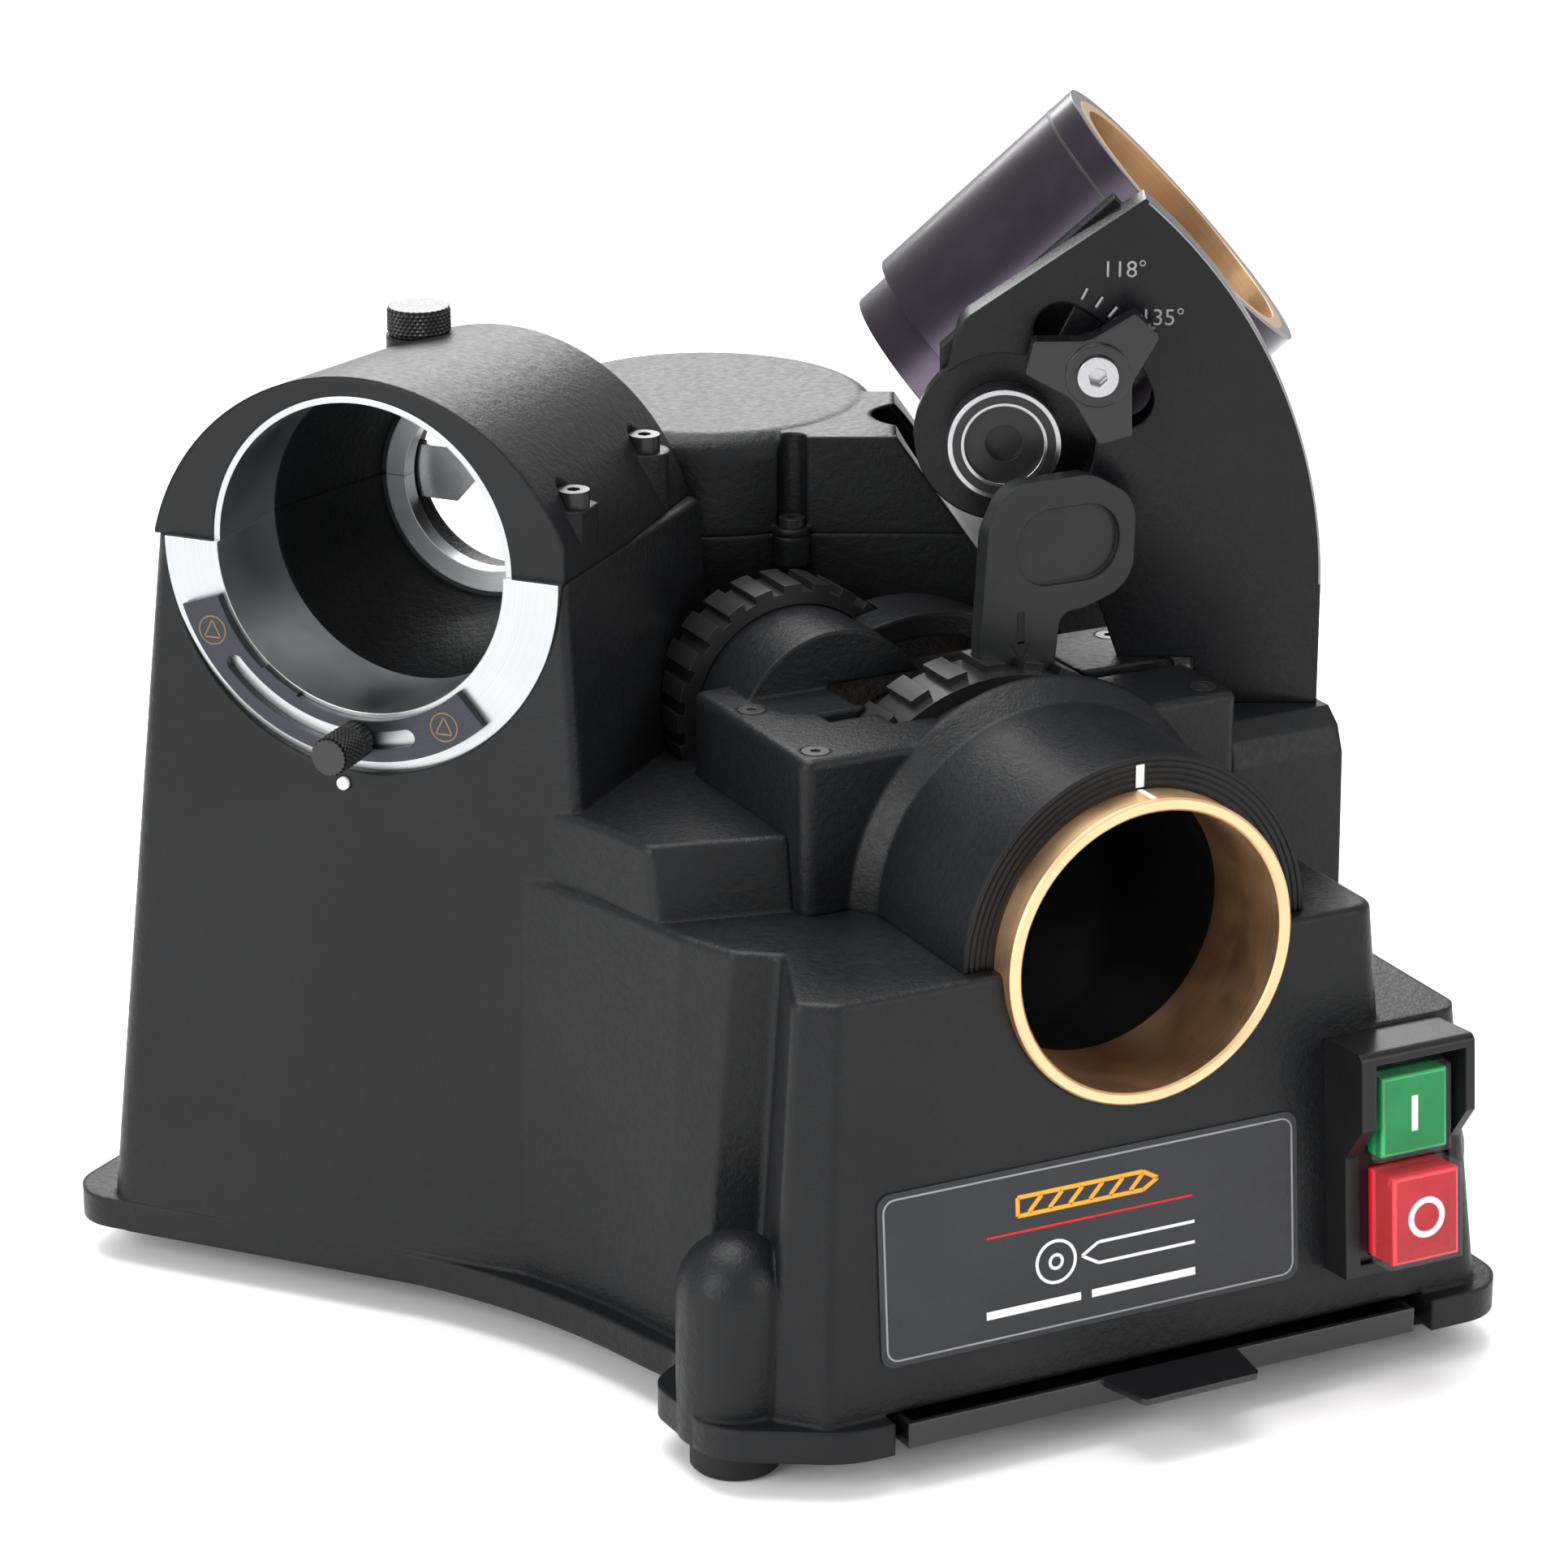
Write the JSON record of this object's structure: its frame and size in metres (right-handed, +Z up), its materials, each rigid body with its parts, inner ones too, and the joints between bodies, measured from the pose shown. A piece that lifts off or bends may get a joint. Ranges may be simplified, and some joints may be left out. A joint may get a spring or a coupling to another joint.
{
  "type": "twist drill sharpener",
  "caption": "Bench-top grinding machine for re-sharpening twist drills, with a setting port, a sharpening port, a tilting point-splitting barrel, a guarded wheel and push-button switch.",
  "frame": {"origin": "centre of the machine's footprint, on the bench under its rubber feet", "axes": "+Z up, -Y the front with the switch and the sharpening port, +X to the right seen from the front"},
  "size_m": [0.3111, 0.2828, 0.2888],
  "materials": {
    "housing": "black fine-textured powder coat",
    "machined": "black satin anodised, turned",
    "aluminium": "satin machined",
    "bronze": "turned bronze",
    "blued": "dark blued steel",
    "steel": "plain steel",
    "plastic": "black moulded plastic",
    "gloss": "gloss black",
    "rubber": "black rubber",
    "green": "green push button",
    "red": "red push button",
    "clear": "clear soft cover",
    "label": "dark grey label",
    "white": "white paint",
    "abrasive": "abrasive wheel"
  },
  "bodies": {
    "housing": {"lower_housing": "housing", "bottom_plate": "gloss", "feet": "rubber", "foot_screws": "steel", "name_plate": "label", "power_inlet": "plastic", "port_block": "housing", "block_screws": "machined", "sharpening_bush": "bronze", "guide_sleeve": "machined", "stop_pin": "steel", "alignment_cap": "housing", "cap_screws": "machined", "lower_liner": "aluminium", "upper_liner": "aluminium", "inner_ring_lower": "aluminium", "inner_ring_upper": "aluminium", "index_dot": "white", "guard_base": "housing", "guard_cover": "housing", "guard_screws": "machined", "guard_window": "steel", "motor_body": "machined", "motor_bearings": "steel", "switch_shroud": "plastic", "switch_body": "plastic", "quadrant_plate": "machined", "quadrant_screws": "steel"},
    "tray": {"grit_tray": "gloss"},
    "cam": {"cam_ring": "machined", "lever": "plastic"},
    "adjuster": {"adjuster_ring": "machined"},
    "pointer": {"pointer_plate": "blued"},
    "pointer_clamp": {"pointer_knob": "machined"},
    "cap_clamp": {"cap_thumb_screw": "machined"},
    "jaw_left": {"left_jaw": "machined"},
    "jaw_right": {"right_jaw": "machined"},
    "rotor": {"motor_shaft": "steel", "sharpening_wheel": "abrasive", "splitting_wheel": "abrasive", "wheel_spacer": "steel", "wheel_nut": "steel", "cooling_fan": "plastic"},
    "start": {"start_button": "green", "start_cover": "clear"},
    "stop": {"stop_button": "red", "stop_cover": "clear"},
    "split_head": {"tube_bracket": "machined", "split_tube": "machined", "split_bush": "bronze", "split_nose": "machined", "pivot_bolt": "machined", "pivot_ring": "steel", "angle_pointer": "machined"},
    "head_clamp": {"clamp_knob": "gloss", "clamp_screw": "steel"}
  },
  "joints": [
    {"name": "tray_slide", "type": "slide", "parent": "housing", "child": "tray", "axis": [0, -1, 0], "range_m": [0, 0.12]},
    {"name": "cam_turn", "type": "hinge", "parent": "housing", "child": "cam", "pos_m": [0.0397, -0.0356, 0.119], "axis": [0, 1, 0], "range_deg": [-40, 0]},
    {"name": "adjuster_turn", "type": "hinge", "parent": "housing", "child": "adjuster", "pos_m": [0.0097, 0.0164, 0.146], "axis": [0, 1, 0], "range_deg": [-150, 150]},
    {"name": "pointer_turn", "type": "hinge", "parent": "housing", "child": "pointer", "pos_m": [-0.0961, 0.032, 0.1932], "axis": [-0.7632, -0.6461, 0], "range_deg": [-17, 47]},
    {"name": "pointer_clamp_turn", "type": "hinge", "parent": "housing", "child": "pointer_clamp", "pos_m": [-0.10024, 0.02915, 0.1482], "axis": [-0.7632, -0.6461, 0], "range_deg": [-180, 180]},
    {"name": "cap_clamp_turn", "type": "hinge", "parent": "housing", "child": "cap_clamp", "pos_m": [-0.05639, 0.08724, 0.2312], "axis": [0, 0, 1], "range_deg": [-180, 180]},
    {"name": "jaw_right_slide", "type": "slide", "parent": "housing", "child": "jaw_right", "axis": [0.6461, -0.7632, 0], "range_m": [-0.004, 0.004]},
    {"name": "jaw_left_slide", "type": "slide", "parent": "housing", "child": "jaw_left", "axis": [0.6461, -0.7632, 0], "range_m": [-0.004, 0.004]},
    {"name": "rotor_spin", "type": "hinge", "parent": "housing", "child": "rotor", "pos_m": [0.0247, 0.0904, 0.119], "axis": [0, 0, 1], "continuous": true},
    {"name": "start_press", "type": "slide", "parent": "housing", "child": "start", "axis": [0, 0.9969, -0.0785], "range_m": [0, 0.0025], "stiffness_N_per_m": 400},
    {"name": "stop_press", "type": "slide", "parent": "housing", "child": "stop", "axis": [0, 0.9969, -0.0785], "range_m": [0, 0.0025], "stiffness_N_per_m": 400},
    {"name": "head_tilt", "type": "hinge", "parent": "housing", "child": "split_head", "pos_m": [0.05571, -0.01423, 0.2147], "axis": [0.454, 0.891, 0], "range_deg": [0, 17]},
    {"name": "head_clamp_turn", "type": "hinge", "parent": "split_head", "child": "head_clamp", "pos_m": [0.07526, -0.0242, 0.23516], "axis": [0.454, 0.891, 0], "range_deg": [-60, 60]}
  ],
  "couplings": [
    {"joint": "jaw_left_slide", "follows": "jaw_right_slide", "ratio": -1}
  ]
}
